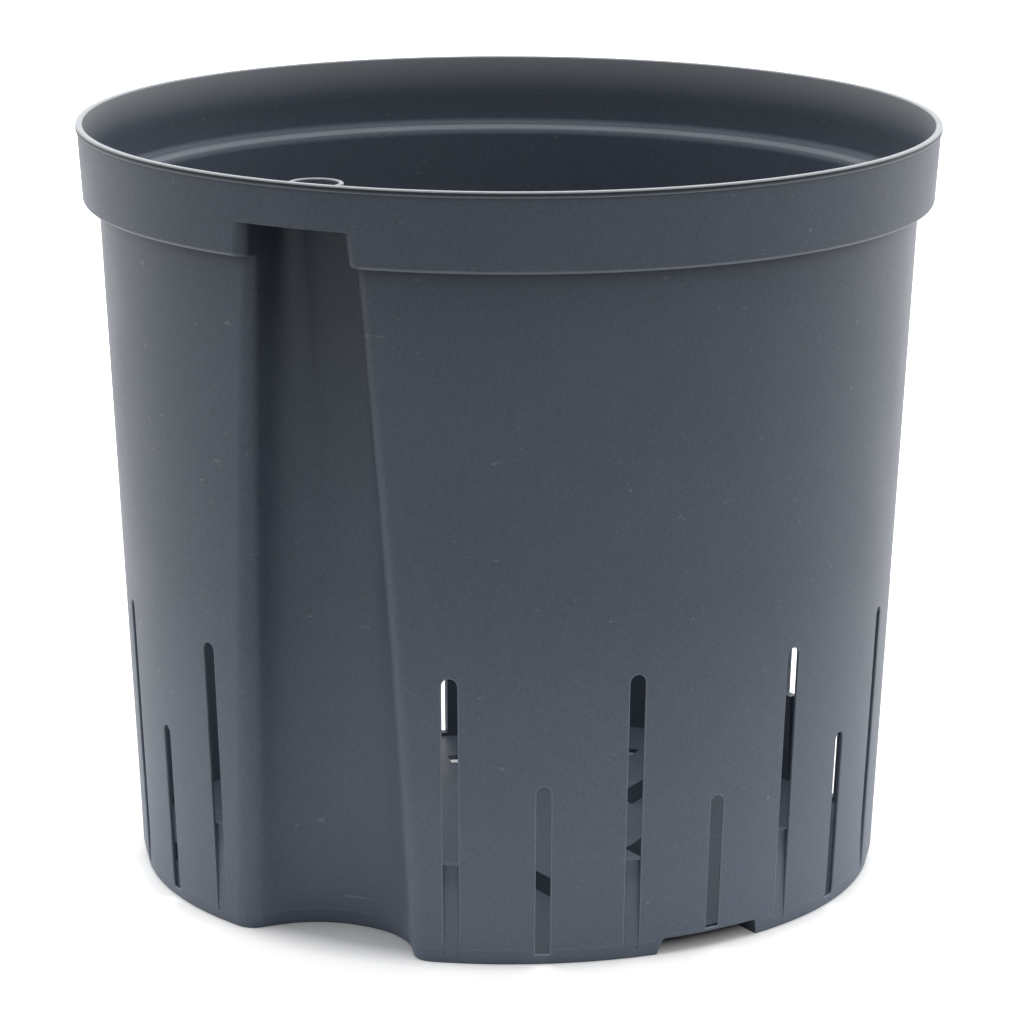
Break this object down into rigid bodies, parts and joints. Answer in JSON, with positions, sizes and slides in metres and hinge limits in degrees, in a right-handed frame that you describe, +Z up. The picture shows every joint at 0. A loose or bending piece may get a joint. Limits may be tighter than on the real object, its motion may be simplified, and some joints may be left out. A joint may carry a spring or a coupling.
{
  "type": "slotted culture pot",
  "caption": "Round tapered plastic inner pot with a rim collar, slots round its lower wall, a raised channelled floor and a side recess with a guide ring for a water level gauge.",
  "frame": {"origin": "on the pot's vertical axis, at the level that the pot stands on", "axes": "+Z up along the pot's axis, -Y towards the recess for the water level gauge, +X to the right when the recess faces the viewer"},
  "size_m": [0.22, 0.22, 0.1938],
  "materials": {
    "pot_plastic": "satin moulded, fine scuffs"
  },
  "bodies": {
    "root": {"slotted_wall": "pot_plastic", "indicator_recess": "pot_plastic", "rim_collar": "pot_plastic", "recess_head": "pot_plastic", "recess_roof": "pot_plastic", "indicator_guide_ring": "pot_plastic", "floor_hub": "pot_plastic", "water_channel_left": "pot_plastic", "water_channel_right": "pot_plastic", "water_channel_back": "pot_plastic", "floor_sector_front": "pot_plastic", "floor_sector_right": "pot_plastic", "floor_sector_left": "pot_plastic"}
  },
  "joints": []
}
